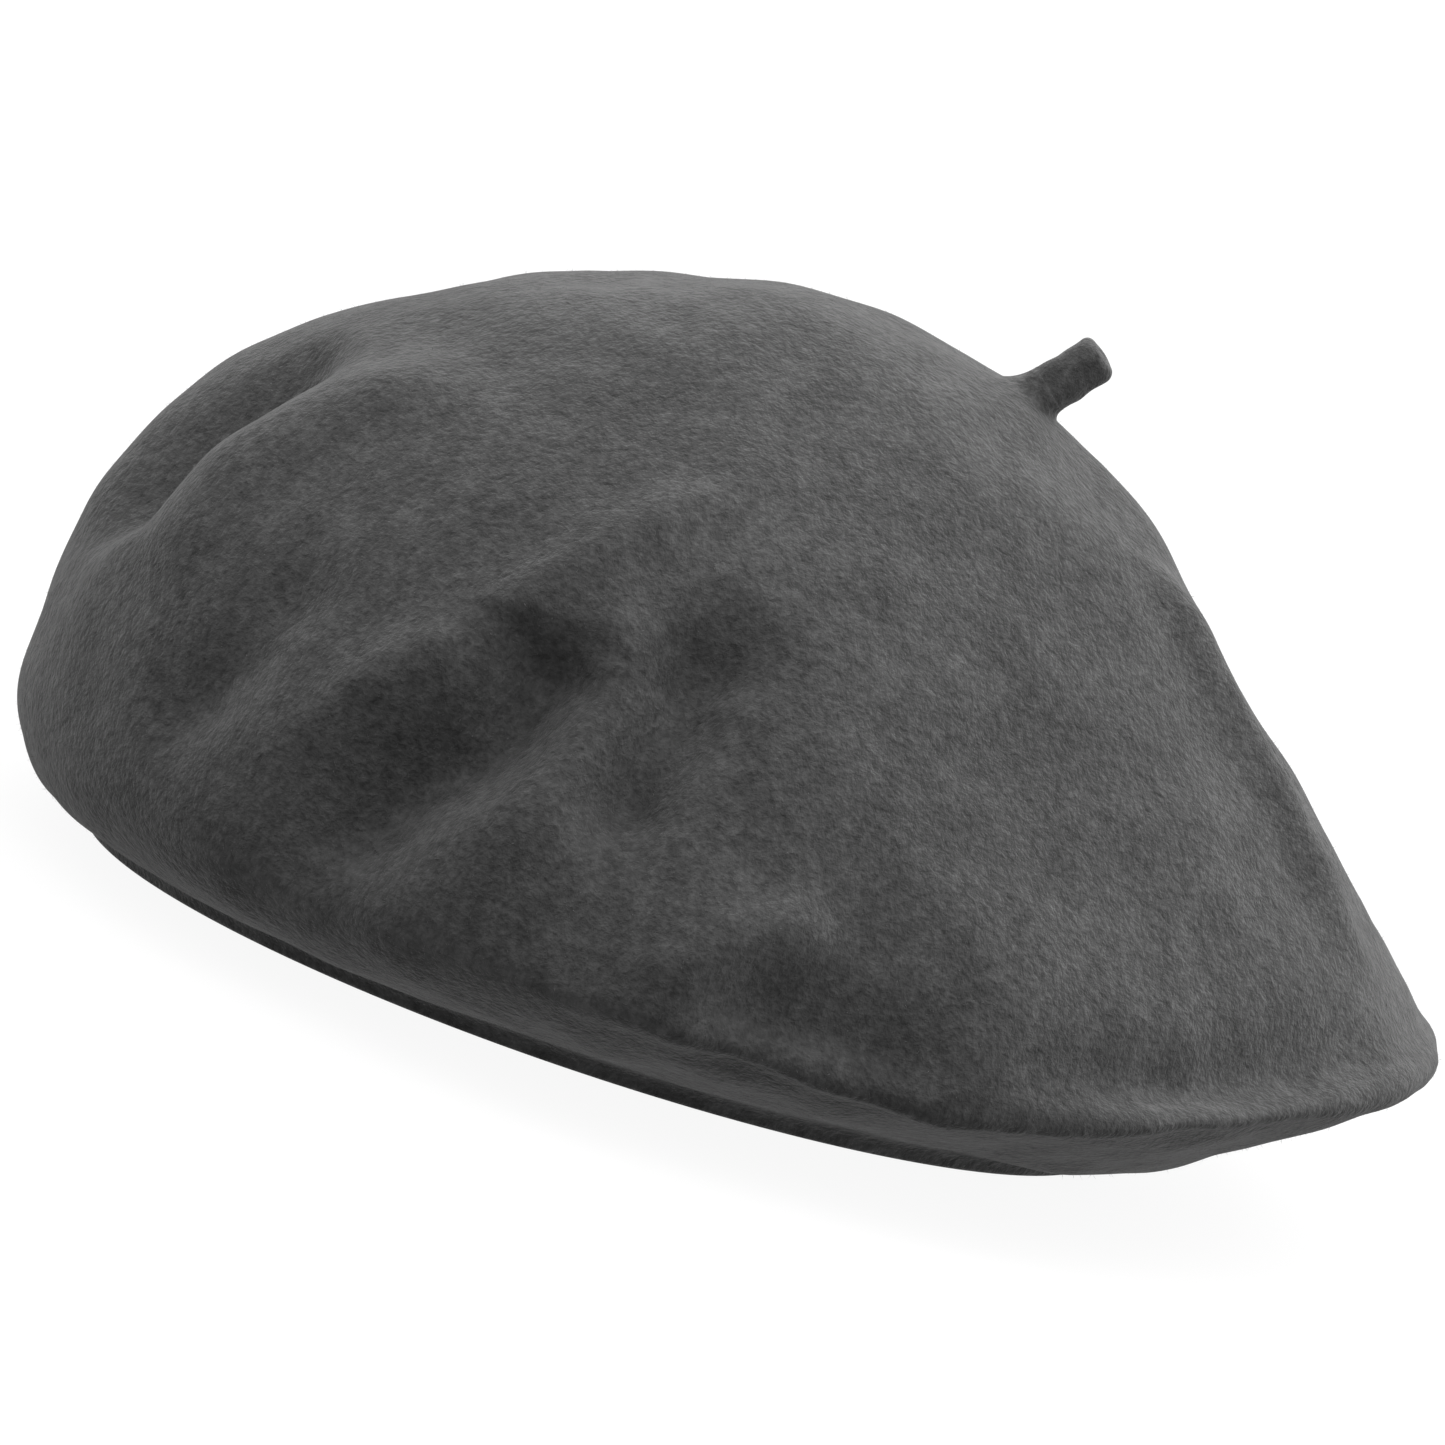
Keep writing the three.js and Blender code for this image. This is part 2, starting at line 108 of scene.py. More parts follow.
FOLDS = {
    # the wearer's left, from forehead to back
    "brow_ridge": Fold(
        [(44, -56, 112), (55, -73, 98), (58, -86, 82), (62, -93, 65), (64, -97, 51)],
        width=11, height=3.4),
    "brow_hollow": Fold(
        [(26, -75, 103), (30, -90, 88), (33, -101, 68), (37, -105, 49)],
        width=11, height=-10.5),
    "temple_hollow": Fold(
        [(84, -61, 77), (86, -70, 65), (86, -80, 43), (78, -88, 30)],
        width=8, height=-4),
    "long_ridge": Fold(
        [(56, 6, 115), (77, -9, 103), (88, -20, 92), (94, -29, 82), (102, -38, 70), (102, -52, 58),
         (100, -61, 46), (94, -74, 29)],
        width=6, height=3.2),
    "deep_hollow": Fold(
        [(101, -22, 81), (107, -25, 72), (112, -30, 59), (112, -41, 47), (111, -50, 30),
         (96, -64, 12)],
        width=10, height=-12, fade=(0.1, 0.5)),
    "short_ridge": Fold(
        [(91, -14, 93), (104, -17, 78), (113, -18, 64), (119, -20, 50), (122, -21, 37),
         (124, -17, 26)],
        width=9, height=3, fade=(0.4, 0.3)),
    "steep_hollow": Fold(
        [(90, 6, 94), (102, 0, 81), (112, -1, 67), (119, -4, 54), (125, -1, 40)],
        width=8, height=-10.5),
    "rim_swell": Fold(
        [(128, 6, 20), (128, 10, 31), (124, 24, 42), (118, 40, 48)],
        width=7, height=4.6),
    "rim_hollow": Fold(
        [(129, 16, 27), (127, 30, 28), (124, 47, 30), (118, 64, 31)],
        width=10, height=-4.8),
    "rim_gutter": Fold(
        [(118, 64, 32), (105, 88, 34), (80, 116, 37), (34, 140, 43)],
        width=9, height=-4.6),
    "rim_crest": Fold(
        [(121, -31, 24), (127, -11, 22), (128, 20, 23), (120, 56, 21), (105, 91, 26), (72, 126, 34),
         (36, 144, 38), (0, 149, 38), (-40, 142, 37), (-80, 122, 33), (-108, 90, 27),
         (-122, 56, 23), (-128, 20, 24), (-126, -12, 24)],
        width=4, height=2.8, fade=(0.12, 0.15)),
    # the back
    "back_facet": Fold(
        [(78, 56, 73), (79, 79, 57), (73, 105, 48)],
        width=26, height=-3.6, fade=(0, 0)),
    "back_crease": Fold(
        [(18, 56, 117), (20, 72, 107), (25, 96, 88), (30, 118, 68), (34, 138, 47)],
        width=7, height=3.6),
    "back_hollow": Fold(
        [(-5, 83, 103), (-6, 110, 81), (-8, 131, 60), (6, 143, 48)],
        width=9, height=-4),
    "stalk_swell": Fold(
        [(-24, 56, 116), (0, 66, 112), (20, 74, 104), (34, 60, 112)],
        width=16, height=2.6, fade=(0, 0)),
    "top_swell": Fold(
        [(-30, -38, 118), (8, -45, 120), (30, -18, 125)],
        width=24, height=2.6, fade=(0, 0)),
    "nape_swell": Fold(
        [(0, 107, 6), (25, 105, 6), (52, 92, 8), (72, 69, 12)],
        width=14, height=2.6),
    # the wearer's right
    "right_ridge": Fold(
        [(-44, 24, 122), (-74, 2, 108), (-96, -20, 84), (-106, -34, 56), (-104, -52, 34)],
        width=10, height=3.6),
    "right_hollow": Fold(
        [(-88, 14, 96), (-108, 6, 72), (-118, -4, 46)],
        width=12, height=-4.6),
    "right_brow": Fold(
        [(-52, -44, 112), (-72, -60, 92), (-80, -76, 64), (-76, -90, 40)],
        width=12, height=-3.4),
    "right_back": Fold(
        [(-62, 66, 92), (-84, 80, 68), (-92, 96, 46)],
        width=11, height=-3.4),
}
RIPPLES = 48  # small uneven waves left by fulling and blocking
RIPPLE_LENGTHS = (14.0, 42.0)
RIPPLE_HEIGHT = 0.24
CALM_EDGE = (2, 9)  # the folds grow in between these heights, above a plain opening
CALM_STALK = (6, 16)  # and between these distances from the stalk, round a plain foot


# ---- The felt's shape -----------------------------------------------------------------------------


def quarter(exponent, count):
    """Steps along a quarter of a superellipse: across falls from 1 to 0 while up climbs to 1."""
    angle = np.linspace(0, math.pi / 2, count + 1)
    return np.cos(angle) ** (2 / exponent), np.sin(angle) ** (2 / exponent)


def mix(a, b, share):
    return a + (b - a) * share


def bulge(exponents, forward):
    """A curve's exponent at an azimuth, where forward is 0 at the back and 1 at the forehead."""
    back, front, power = exponents
    return mix(back, front, forward**power)


def sharp_section(azimuth):
    """The unrounded section: up the opening's edge, out along the underside, up the crown."""
    s, c = math.sin(azimuth), math.cos(azimuth)
    forward = (1 - c) / 2
    edge = np.array([OPENING[0] * s, OPENING[1] * c])
    rim = np.array([RIM[0] * s, RIM_CENTRE_Y + RIM[1] * c])
    rim_z = RIM_SIDE_HEIGHT + RIM_BACK_RISE * max(c, 0) ** 3 + RIM_FRONT_RISE * max(-c, 0) ** 3
    peak = np.array([0, PEAK_Y])
    across, up = quarter(bulge(UNDERSIDE_BULGE, forward), 40)
    underside = np.column_stack([mix(edge, rim, up[:, None]), mix(rim_z, BAND_RISE, across)])
    across, up = quarter(bulge(CROWN_BULGE, forward), 120)
    crown = np.column_stack([mix(peak, rim, across[:, None]), mix(rim_z, PEAK_HEIGHT, up)])
    below = np.array([[*edge, -4 * SECTION_SOFTNESS]])
    return np.vstack([below, underside]), crown


def distances_along(points):
    return np.r_[0, np.cumsum(np.linalg.norm(np.diff(points, axis=0), axis=1))]


def at_distances(points, places):
    """The points at the given distances along a polyline."""
    along = distances_along(points)
    return np.column_stack([np.interp(places, along, points[:, i]) for i in range(3)])


def softened(points, spread):
    """Points one millimetre apart with their corners rounded by a Gaussian average."""
    reach = int(3 * spread)
    weights = np.exp(-0.5 * (np.arange(-reach, reach + 1) / spread) ** 2)
    weights /= weights.sum()
    before = 2 * points[0] - points[reach:0:-1]
    after = 2 * points[-1] - points[-2 : -reach - 2 : -1]
    padded = np.vstack([before, points, after])
    return np.column_stack([np.convolve(padded[:, i], weights, "valid") for i in range(3)])


def smoothstep(x, low, high):
    t = np.clip((x - low) / (high - low), 0, 1)
    return t * t * (3 - 2 * t)


def from_peak(points):
    """Distance from the stalk's upright line."""
    return np.hypot(points[..., 0], points[..., 1] - PEAK_Y)


def outer_section(azimuth):
    """The felt's outer points at an azimuth, from the opening's edge to the stalk hole, unfolded."""
    lower, crown = sharp_section(azimuth)
    whole = np.vstack([lower, crown[1:]])
    total = distances_along(whole)[-1]
    step = total / round(total)
    smooth = softened(at_distances(whole, np.arange(round(total) + 1) * step), SECTION_SOFTNESS)
    along = np.arange(len(smooth)) * step
    upright = slice(30)  # the first points climb
    edge = np.interp(FELT / 2, smooth[upright, 2], along[upright])
    rim = distances_along(lower)[-1]
    near_peak = from_peak(smooth) < 4 * STALK_HOLE
    order = np.argsort(from_peak(smooth)[near_peak])
    hole = np.interp(STALK_HOLE, from_peak(smooth)[near_peak][order], along[near_peak][order])
    underside = np.linspace(edge, rim, UNDERSIDE_ROWS, endpoint=False)
    places = np.r_[underside, np.linspace(rim, hole, CROWN_ROWS)]
    points = np.column_stack([np.interp(places, along, smooth[:, i]) for i in range(3)])
    swell = np.exp(-((points[:, 0] / PUFF_HALF_WIDTH) ** 2 + (points[:, 1] / PUFF_HALF_LENGTH) ** 2))
    points[:, 2] += PUFF_RISE * swell * smoothstep(points[:, 2], RIM_SIDE_HEIGHT, PUFF_FULL_HEIGHT)
    return points


def normals_of(grid):
    """Outward normals of a grid of sections."""
    along = np.gradient(grid, axis=1)
    around = np.roll(grid, -1, axis=0) - np.roll(grid, 1, axis=0)
    normal = np.cross(along, around)
    return normal / np.linalg.norm(normal, axis=2, keepdims=True)


def smooth_path(points, step=2.0):
    """A Catmull-Rom curve through points, as points about a step apart."""
    p = np.array(points, float)
    p = np.vstack([2 * p[0] - p[1], p, 2 * p[-1] - p[-2]])
    pieces = []
    for a, b, c, d in zip(p, p[1:], p[2:], p[3:]):
        count = max(int(np.linalg.norm(c - b) / step), 2)
        t = np.linspace(0, 1, count, endpoint=False)[:, None]
        pieces.append(0.5 * (2 * b + (c - a) * t + (2 * a - 5 * b + 4 * c - d) * t**2
                             + (3 * b - a - 3 * c + d) * t**3))
    return np.vstack([*pieces, p[-2:-1]])


def on_felt(points, path):
    """A path laid onto the felt's points, then evened out."""
    line = np.array([points[((points - p) ** 2).sum(1).argmin()] for p in path])
    for _ in range(3):
        line[1:-1] = (line[:-2] + 2 * line[1:-1] + line[2:]) / 4
    return line


def faded(share, length):
    """Rises from 0 to 1 over the first part of a path, or is 1 from the start."""
    return smoothstep(share, 0, length) if length else 1.0


def fold_lift(grid, fold):
    """How far a fold lifts each point of the grid: it falls off with distance from the path."""
    points = grid.reshape(-1, 3)
    line = on_felt(points, smooth_path(fold.path))
    reach = 3 * fold.width
    close = np.flatnonzero(((points > line.min(0) - reach) & (points < line.max(0) + reach)).all(1))
    start, span = line[:-1], np.diff(line, axis=0)
    place = ((points[close, None] - start) * span).sum(2) / ((span**2).sum(1) + 1e-9)
    place = np.clip(place, 0, 1)
    squared = ((points[close, None] - start - place[..., None] * span) ** 2).sum(2)
    nearest = (np.arange(len(close)), squared.argmin(1))
    share = (nearest[1] + place[nearest]) / len(span)
    strength = faded(share, fold.fade[0]) * faded(1 - share, fold.fade[1])
    lift = np.zeros(len(points))
    lift[close] = fold.height * strength * np.exp(-squared[nearest] / fold.width**2)
    return lift.reshape(grid.shape[:2])


def ripples(grid, rng):
    """Low uneven waves over the whole felt, as a sum of plane waves in all directions."""
    lift = np.zeros(grid.shape[:2])
    for _ in range(RIPPLES):
        direction = rng.normal(size=3)
        direction /= np.linalg.norm(direction)
        wave = 2 * math.pi / rng.uniform(*RIPPLE_LENGTHS)
        lift += np.sin(grid @ direction * wave + rng.uniform(0, 2 * math.pi))
    return lift * RIPPLE_HEIGHT / math.sqrt(RIPPLES / 2)


def felt_outer(rng):
    """The folded outer face: one section per azimuth."""
    around = np.arange(AZIMUTHS) * 2 * math.pi / AZIMUTHS
    grid = np.array([outer_section(azimuth) for azimuth in around])
    lift = ripples(grid, rng) + sum(fold_lift(grid, fold) for fold in FOLDS.values())
    lift *= smoothstep(grid[..., 2], *CALM_EDGE)
    lift *= smoothstep(from_peak(grid), *CALM_STALK)
    return grid + normals_of(grid) * lift[..., None]


# ---- Meshes ---------------------------------------------------------------------------------------


def make_piece(name, points, faces, material, smooth=True):
    """A mesh object from points in millimetres."""
    mesh = bpy.data.meshes.new(name)
    mesh.from_pydata((np.asarray(points) * MM).tolist(), [], [list(map(int, face)) for face in faces])
    mesh.validate()
    mesh.polygons.foreach_set("use_smooth", [smooth] * len(mesh.polygons))
    mesh.materials.append(material)
    piece = bpy.data.objects.new(name, mesh)
    bpy.context.scene.collection.objects.link(piece)
    return piece


def grid_faces(loops, around, ring=False):
    """Faces between loops of points that climb on the outside, wound to face outwards."""
    last = loops if ring else loops - 1
    k = np.arange(last)[:, None]
    i = np.arange(around)[None]
    a = k * around + i
    b = k * around + (i + 1) % around
    c = (k + 1) % loops * around + (i + 1) % around
    d = (k + 1) % loops * around + i
    return np.stack([a, d, c, b], -1).reshape(-1, 4)


def joined(parts):
    """One list of points and faces from several."""
    points, faces, start = [], [], 0
    for part_points, part_faces in parts:
        points.append(np.asarray(part_points, float))
        faces += [[int(v) + start for v in face] for face in part_faces]
        start += len(part_points)
    return np.vstack(points), faces


def cross_frames(path, closed):
    """Two directions square to a path at each of its points, turning as little as they can."""
    if closed:
        tangent = np.roll(path, -1, 0) - np.roll(path, 1, 0)
    else:
        tangent = np.gradient(path, axis=0)
    tangent /= np.linalg.norm(tangent, axis=1, keepdims=True)
    side = np.cross(tangent[0], [0.3, 0.2, 1.0])  # any direction that no path here starts in
    sides = []
    for t in tangent:
        side = side - t * (side @ t)
        side /= np.linalg.norm(side)
        sides.append(side)
    sides = np.array(sides)
    if closed:
        last = sides[-1] - tangent[0] * (sides[-1] @ tangent[0])
        twist = math.atan2(np.cross(sides[0], last) @ tangent[0], sides[0] @ last)
        angle = -twist * np.arange(len(path)) / len(path)
        sides = sides * np.cos(angle)[:, None] + np.cross(tangent, sides) * np.sin(angle)[:, None]
    return sides, np.cross(tangent, sides)


def tube(path, radius, sides, closed=False):
    """Points and faces of a tube. radius is one number or one per point."""
    path = np.asarray(path, float)
    u, v = cross_frames(path, closed)
    radius = np.broadcast_to(radius, len(path)).astype(float)
    turn = np.arange(sides) * 2 * math.pi / sides
    ring = np.cos(turn)[None, :, None] * u[:, None] + np.sin(turn)[None, :, None] * v[:, None]
    points = (path[:, None] + ring * radius[:, None, None]).reshape(-1, 3)
    faces = grid_faces(len(path), sides, ring=closed)[:, ::-1].tolist()
    if not closed:
        faces.append(list(range(sides))[::-1])
        faces.append([(len(path) - 1) * sides + i for i in range(sides)])
    return points, faces


def stitch(start, end, radius, bow):
    """A short thread with round ends that arches by bow at its middle."""
    t = np.linspace(0, 1, 7)
    path = mix(np.array(start, float), np.array(end, float), t[:, None])
    path += np.sin(t * math.pi)[:, None] * np.array(bow, float)
    roundness = smallest = 0.35
    return tube(path, radius * np.maximum(np.sin(t * math.pi) ** roundness, smallest), sides=8)


# ---- Materials ------------------------------------------------------------------------------------

WAVE_BAND = 0.314  # length of one band of a wave texture whose scale is 1


class Shader:
    """A Principled material, with short names for the nodes that this script uses."""

    def __init__(self, name, **constants):
        self.material = bpy.data.materials.new(name)
        self.material.use_nodes = True
        self.tree = self.material.node_tree
        self.bsdf = self.tree.nodes["Principled BSDF"]
        for socket, value in constants.items():
            self.bsdf.inputs[socket.replace("_", " ")].default_value = value
        scale = self.tree.nodes.new("ShaderNodeVectorMath")
        scale.operation = "SCALE"
        scale.inputs["Scale"].default_value = 1 / MM
        place = self.tree.nodes.new("ShaderNodeTexCoord")
        self.tree.links.new(place.outputs["Object"], scale.inputs[0])
        self.place = scale.outputs[0]

    def link(self, value, socket):
        """Joins a node's output to a socket, or sets the socket to a number."""
        if isinstance(value, (int, float, tuple)):
            socket.default_value = value
        else:
            self.tree.links.new(value, socket)

    def stretched(self, scale, turn=(0, 0, 0)):
        """The place in millimetres, turned and scaled."""
        node = self.tree.nodes.new("ShaderNodeMapping")
        node.inputs["Rotation"].default_value = turn
        node.inputs["Scale"].default_value = scale
        self.link(self.place, node.inputs["Vector"])
        return node.outputs[0]

    def noise(self, size, detail=2.0, rough=0.5, distortion=0.0, place=None):
        """Noise from 0 to 1 whose lumps are about size millimetres."""
        node = self.tree.nodes.new("ShaderNodeTexNoise")
        self.link(place or self.place, node.inputs["Vector"])
        node.inputs["Scale"].default_value = 1 / size
        node.inputs["Detail"].default_value = detail
        node.inputs["Roughness"].default_value = rough
        node.inputs["Distortion"].default_value = distortion
        return node.outputs[0]

    def wave(self, size, direction, distortion=0.0):
        """Bands from 0 to 1 that repeat every size millimetres."""
        node = self.tree.nodes.new("ShaderNodeTexWave")
        node.bands_direction = direction
        self.link(self.place, node.inputs["Vector"])
        node.inputs["Scale"].default_value = WAVE_BAND / size
        node.inputs["Distortion"].default_value = distortion
        return node.outputs["Fac"]

    def maths(self, operation, a, b):
        node = self.tree.nodes.new("ShaderNodeMath")
        node.operation = operation
        self.link(a, node.inputs[0])
        self.link(b, node.inputs[1])
        return node.outputs[0]

    def blend(self, *parts):
        """The sum of (value, weight) pairs."""
        weighted = [self.maths("MULTIPLY", value, weight) for value, weight in parts]
        total = weighted[0]
        for part in weighted[1:]:
            total = self.maths("ADD", total, part)
        return total

    def spread(self, value, low, high, to_low, to_high):
        """A value's range from low to high, stretched to another range."""
        node = self.tree.nodes.new("ShaderNodeMapRange")
        node.inputs["From Min"].default_value = low
        node.inputs["From Max"].default_value = high
        node.inputs["To Min"].default_value = to_low
        node.inputs["To Max"].default_value = to_high
        self.link(value, node.inputs["Value"])
        return node.outputs[0]

    def greys(self, value, *stops):
        """A grey for each value: stops are (value, grey) or (value, (r, g, b))."""
        node = self.tree.nodes.new("ShaderNodeValToRGB")
        ramp = node.color_ramp
        while len(ramp.elements) < len(stops):
            ramp.elements.new(0.5)
        for element, (at, grey) in zip(ramp.elements, stops):
            element.position = at
            element.color = (*(grey if isinstance(grey, tuple) else (grey,) * 3), 1)
        self.link(value, node.inputs["Fac"])
        return node.outputs["Color"]

    def bump(self, height, depth, after=None):
        """A bump whose full range is depth millimetres."""
        node = self.tree.nodes.new("ShaderNodeBump")
        node.inputs["Strength"].default_value = 1.0
        node.inputs["Distance"].default_value = depth * MM
        self.link(height, node.inputs["Height"])
        if after is not None:
            self.link(after, node.inputs["Normal"])
        return node.outputs[0]

    def finish(self, colour, normal=None, roughness=None):
        self.link(colour, self.bsdf.inputs["Base Color"])
        if normal is not None:
            self.link(normal, self.bsdf.inputs["Normal"])
        if roughness is not None:
            self.link(roughness, self.bsdf.inputs["Roughness"])
        return self.material


def wool_felt(name, tone):
    """Fulled wool: matt, mottled by matted fibres, with pale hairs and a soft nap."""
    shader = Shader(name, Roughness=0.95, Specular_IOR_Level=0.12, Sheen_Weight=0.2,
                    Sheen_Roughness=0.42, Sheen_Tint=(0.9, 0.9, 0.9, 1))
    mottle = shader.noise(2.6, detail=4, rough=0.62, distortion=0.3)
    pebbles = shader.noise(1.1, detail=2, rough=0.6)
    patches = shader.noise(9, detail=2)
    clouds = shader.noise(38, detail=1)
    curls = {"size": 0.6, "detail": 2, "distortion": 2.5}
    hairs = shader.noise(**curls, place=shader.stretched((1, 0.5, 0.8), turn=(0.5, 0.3, 0.8)))
    crossed = shader.noise(**curls, place=shader.stretched((0.5, 1, 0.9), turn=(1.1, 0.2, 0.4)))
    grain = shader.blend((mottle, 0.4), (pebbles, 0.28), (patches, 0.18), (clouds, 0.14))
    lint = shader.spread(shader.maths("MAXIMUM", hairs, crossed), 0.68, 0.8, 0, 0.12)
    colour = shader.greys(shader.maths("ADD", grain, lint),
                          (0.34, 0.5 * tone), (0.5, tone), (0.62, 1.5 * tone), (0.85, 2.3 * tone))
    normal = shader.bump(mottle, 0.7)
    normal = shader.bump(pebbles, 0.45, normal)
    normal = shader.bump(shader.maths("ADD", hairs, crossed), 0.05, normal)
    return shader.finish(colour, normal)


def wool_fibre(name, tone):
    """Single wool hairs, some paler than the felt."""
    shader = Shader(name, Roughness=0.8, Specular_IOR_Level=0.2, Sheen_Weight=0.3)
    shade = shader.noise(2.5, detail=2)
    return shader.finish(shader.greys(shade, (0.3, 0.7 * tone), (0.55, tone), (0.75, 1.8 * tone)))


def grosgrain(name):
    """Near-black ribbed ribbon: the ribs are modelled, the fine cross threads are bump."""
    shader = Shader(name, Roughness=0.55, Specular_IOR_Level=0.35, Sheen_Weight=0.15)
    threads = shader.wave(0.32, "Z", distortion=0.4)
    slubs = shader.noise(1.4, detail=2, place=shader.stretched((1, 1, 0.25)))
    colour = shader.greys(slubs, (0.3, (0.012, 0.012, 0.013)), (0.55, (0.019, 0.019, 0.021)),
                          (0.8, (0.034, 0.034, 0.037)))
    normal = shader.bump(threads, 0.06)
    normal = shader.bump(slubs, 0.05, normal)
    return shader.finish(colour, normal, shader.spread(slubs, 0.3, 0.8, 0.45, 0.7))


def thread(name, dark, light):
    """Spun yarn or sewing thread: fine fibres over its plies."""
    shader = Shader(name, Roughness=0.75, Specular_IOR_Level=0.25, Sheen_Weight=0.25)
    fibres = shader.noise(0.16, detail=3, distortion=1.0)
    lumps = shader.noise(1.1, detail=2)
    twist = shader.blend((fibres, 0.6), (lumps, 0.4))
    return shader.finish(shader.greys(twist, (0.35, dark), (0.65, light)), shader.bump(fibres, 0.05))


def satin_tape(name):
    """Off-white woven tape: fine warp and weft, a little shine, faint yellowing."""
    shader = Shader(name, Roughness=0.5, Specular_IOR_Level=0.4, Sheen_Weight=0.2)
    warp = shader.wave(0.28, "Z")
    weft = shader.wave(0.36, "Y")
    weave = shader.maths("MULTIPLY", warp, weft)
    age = shader.noise(7, detail=2)
    colour = shader.greys(age, (0.3, (0.6, 0.57, 0.5)), (0.6, (0.68, 0.66, 0.6)),
                          (0.8, (0.74, 0.72, 0.68)))
    return shader.finish(colour, shader.bump(weave, 0.05), shader.spread(weave, 0, 1, 0.42, 0.62))


# ---- The felt shell -------------------------------------------------------------------------------


def felt_shell(outer, material):
    """Crown, rim, underside and opening edge in one closed skin of even thickness."""
    inner = outer - normals_of(outer) * FELT
    inner[:, 0] = outer[:, 0] - normals_of(outer)[:, 0] * (FELT, FELT, 0)
    inner[:, -1] = outer[:, -1] - (0, 0, FELT)
    rows = list(range(0, outer.shape[1] - 1, INNER_STRIDE)) + [outer.shape[1] - 1]
    middle, reach = (outer[:, 0] + inner[:, 0]) / 2, (inner[:, 0] - outer[:, 0]) / 2
    edge = []
    for angle in np.linspace(0, math.pi, EDGE_STEPS + 2)[1:-1]:
        drop = np.array([0, 0, FELT / 2 * math.sin(angle)])
        edge.append(middle - reach * math.cos(angle) - drop)
    loops = [inner[:, row] for row in reversed(rows)] + edge[::-1] + list(outer.transpose(1, 0, 2))
    points = np.concatenate(loops)
    return make_piece("felt_shell", points, grid_faces(len(loops), AZIMUTHS, ring=True), material)


HAIRS = 12000
HAIR_LENGTHS = (0.5, 1.5)
HAIR_HALF_WIDTHS = (0.018, 0.034)
HAIR_RISES = (12, 62)  # degrees off the felt
HAIR_SCATTER = 1.3  # how far a root may lie from the felt's grid point
HAIR_SINK = 0.05
BARE_EDGE, BARE_STALK = 3, 7  # no hairs below this height or this near the stalk


def hair_roots(outer, rng):
    """Grid points picked at random, evenly over the felt's area."""
    length = np.linalg.norm(np.roll(outer, -1, 0) - outer, axis=2)
    area = (length * np.linalg.norm(np.gradient(outer, axis=1), axis=2)).ravel()
    area[(outer[..., 2] < BARE_EDGE).ravel()] = 0
    area[(from_peak(outer) < BARE_STALK).ravel()] = 0
    return rng.choice(len(area), HAIRS, p=area / area.sum())


def felt_fuzz(outer, material, rng):
    """Loose hairs of the nap: slender closed spikes that lean over the felt."""
    picks = hair_roots(outer, rng)
    base, up = outer.reshape(-1, 3)[picks], normals_of(outer).reshape(-1, 3)[picks]
    lean = rng.normal(size=(HAIRS, 3))
    lean -= up * (lean * up).sum(1, keepdims=True)
    lean /= np.linalg.norm(lean, axis=1, keepdims=True)
    base = base + lean * rng.uniform(-HAIR_SCATTER, HAIR_SCATTER, (HAIRS, 1)) - up * HAIR_SINK
    side = np.cross(up, lean)
    rise = np.radians(rng.uniform(*HAIR_RISES, (HAIRS, 1)))
    reach = rng.uniform(*HAIR_LENGTHS, (HAIRS, 1))
    half = rng.uniform(*HAIR_HALF_WIDTHS, (HAIRS, 1))
    tip = base + (lean * np.cos(rise) + up * np.sin(rise)) * reach
    corners = [base + side * half, base - side * half, base + lean * half * 1.6, tip]
    points = np.stack(corners, 1).reshape(-1, 3)
    start = np.arange(HAIRS)[:, None] * len(corners)
    faces = np.concatenate([start + c for c in [(0, 1, 2), (0, 3, 1), (1, 3, 2), (2, 3, 0)]])
    return make_piece("felt_fuzz", points, faces, material)


# ---- The stalk ------------------------------------------------------------------------------------

STALK_RADIUS, STALK_TIP, STALK_LEAN = 4.55, 9.6, math.radians(39)
STALK_AROUND = 96
FILLET = {"front": 5.4, "back": 1.8}  # how far the stalk's foot spreads over the crown
FOOT_SINK = 0.35  # its lower edge lies this far inside the crown
FOOT_COVER = 0.06  # its upper edge lies this far outside the stalk
FOOT_STEPS = 14
STALK_DEPTH = 4.0  # how far the stalk goes down inside its foot
STALK_STEPS = 30
TIP_ROUND, TIP_DOME, TIP_STEPS = 1.9, 0.35, 8
LUMPS, LUMP_HEIGHT, LUMP_WAVES = 24, 0.035, (0.5, 1.4)

bend = next(joint for joint in frame["joints"] if joint["name"] == "stalk_bend")
stalk_pivot = np.array(bend["pos_m"]) / MM
stalk_axis = np.array([0, math.sin(STALK_LEAN), math.cos(STALK_LEAN)])


def crown_skin(outer):
    """The crown's outer face near the stalk, with the stalk hole closed, to find heights on."""
    rows = outer[:, -CROWN_ROWS // 2 :].transpose(1, 0, 2)
    faces = grid_faces(len(rows), AZIMUTHS).tolist()
    faces.append([(len(rows) - 1) * AZIMUTHS + i for i in range(AZIMUTHS)])
    return BVHTree.FromPolygons(rows.reshape(-1, 3).tolist(), faces)


def felt_height(skin, x, y):
    """The height of the felt's outer face at a place near the stalk."""
    return skin.ray_cast(Vector((x, y, 2 * PEAK_HEIGHT)), Vector((0, 0, -1)))[0].z


def foot_crossing(skin, start):
    """Where a line down the stalk's side meets the felt."""
    point = np.array(start, float)
    step = stalk_axis * 0.05
    while point[2] > felt_height(skin, point[0], point[1]):
        point -= step
    return point


def stalk_rings():
    """Directions square to the stalk's axis, all the way round it."""
    turn = np.arange(STALK_AROUND) * 2 * math.pi / STALK_AROUND
    across, forward = np.array([1.0, 0, 0]), np.cross(stalk_axis, [1.0, 0, 0])
    return np.cos(turn)[:, None] * across + np.sin(turn)[:, None] * forward


def around_axis(radial, radius, along):
    """A ring about the stalk's axis, at a distance along it from the pivot."""
    return stalk_pivot + radial * radius + stalk_axis * along


